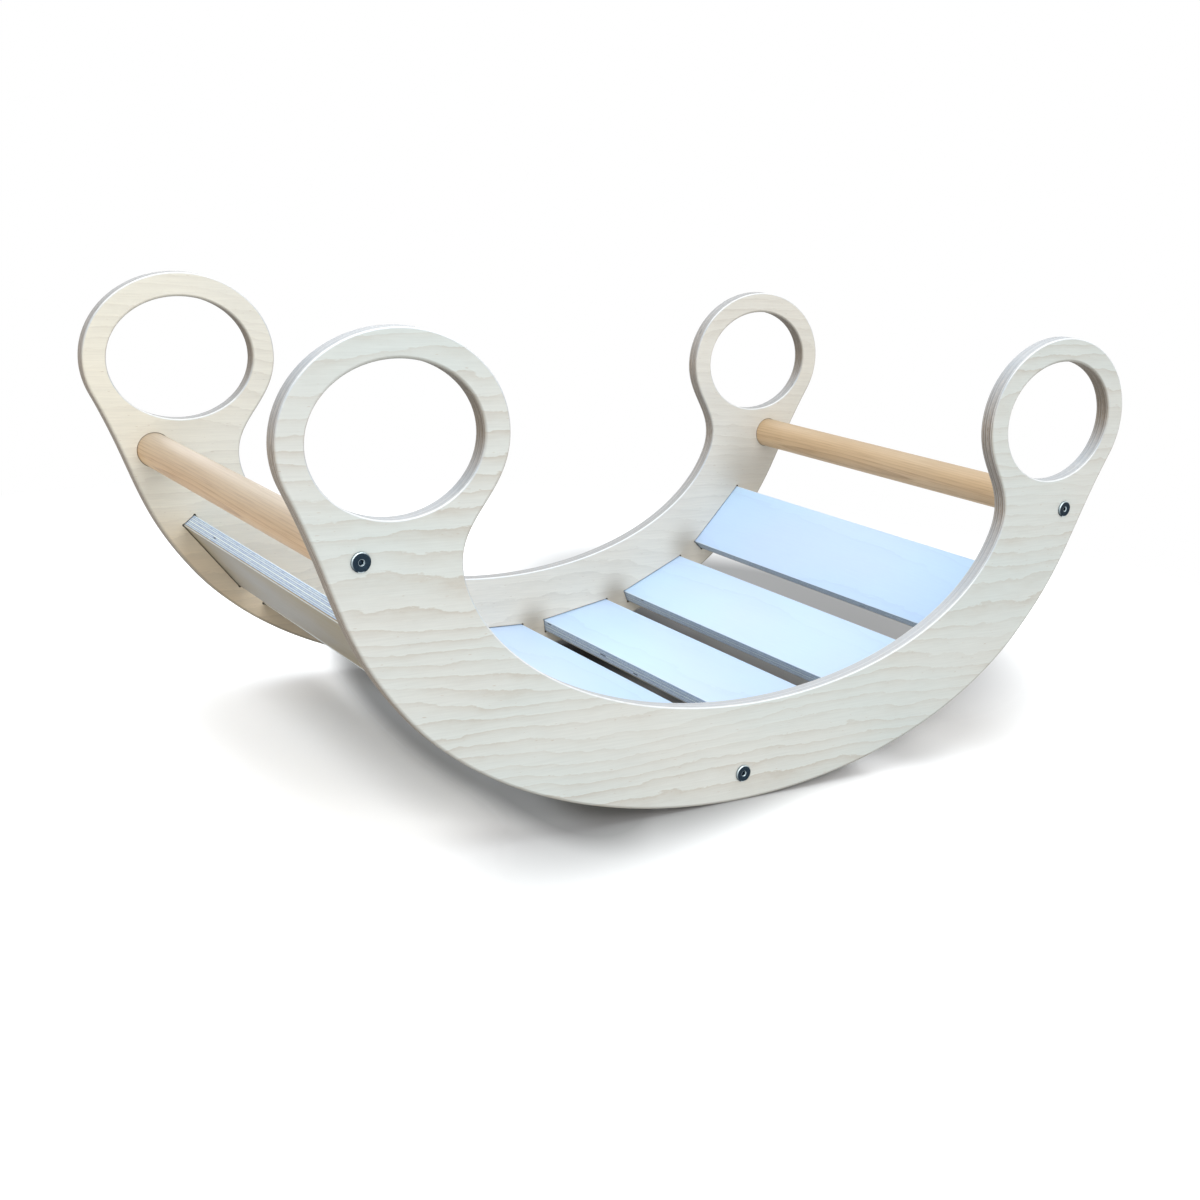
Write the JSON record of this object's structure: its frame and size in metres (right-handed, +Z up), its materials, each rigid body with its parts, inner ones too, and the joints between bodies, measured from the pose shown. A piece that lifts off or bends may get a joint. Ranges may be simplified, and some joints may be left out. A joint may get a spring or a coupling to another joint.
{
  "type": "wooden rocker arch",
  "caption": "Plywood rocker arch for children: two crescent sides with ring handles, joined by slats and grab bars, which rocks on its curved runners.",
  "frame": {"origin": "on the floor under the middle of the arch, at the centre of the bounding box's base", "axes": "+X along the arch's length, towards the right-hand ring handles as seen from the front side; +Y from the front side panel to the rear side panel; +Z up"},
  "size_m": [0.922, 0.4944, 0.428],
  "materials": {
    "birch_ply": "sanded birch plywood under clear matt lacquer, plies showing on the edges",
    "slat_ply": "pale sanded birch plywood under clear matt lacquer",
    "bar_wood": "turned hardwood, oiled, with straight grain",
    "zinc_steel": "zinc-plated steel",
    "insert_brass": "plain turned"
  },
  "bodies": {
    "root": {"front_side_panel": "birch_ply", "rear_side_panel": "birch_ply", "centre_slat": "slat_ply", "right_inner_slat": "slat_ply", "right_middle_slat": "slat_ply", "right_outer_slat": "slat_ply", "left_inner_slat": "slat_ply", "left_middle_slat": "slat_ply", "left_outer_slat": "slat_ply", "left_grab_bar": "bar_wood", "right_grab_bar": "bar_wood", "front_left_bolt": "zinc_steel", "front_right_bolt": "zinc_steel", "front_centre_bolt": "zinc_steel", "rear_left_bolt": "zinc_steel", "rear_right_bolt": "zinc_steel", "rear_centre_bolt": "zinc_steel", "front_left_insert": "insert_brass", "front_right_insert": "insert_brass", "rear_left_insert": "insert_brass", "rear_right_insert": "insert_brass", "front_barrel_nut": "zinc_steel", "rear_barrel_nut": "zinc_steel"}
  },
  "joints": []
}
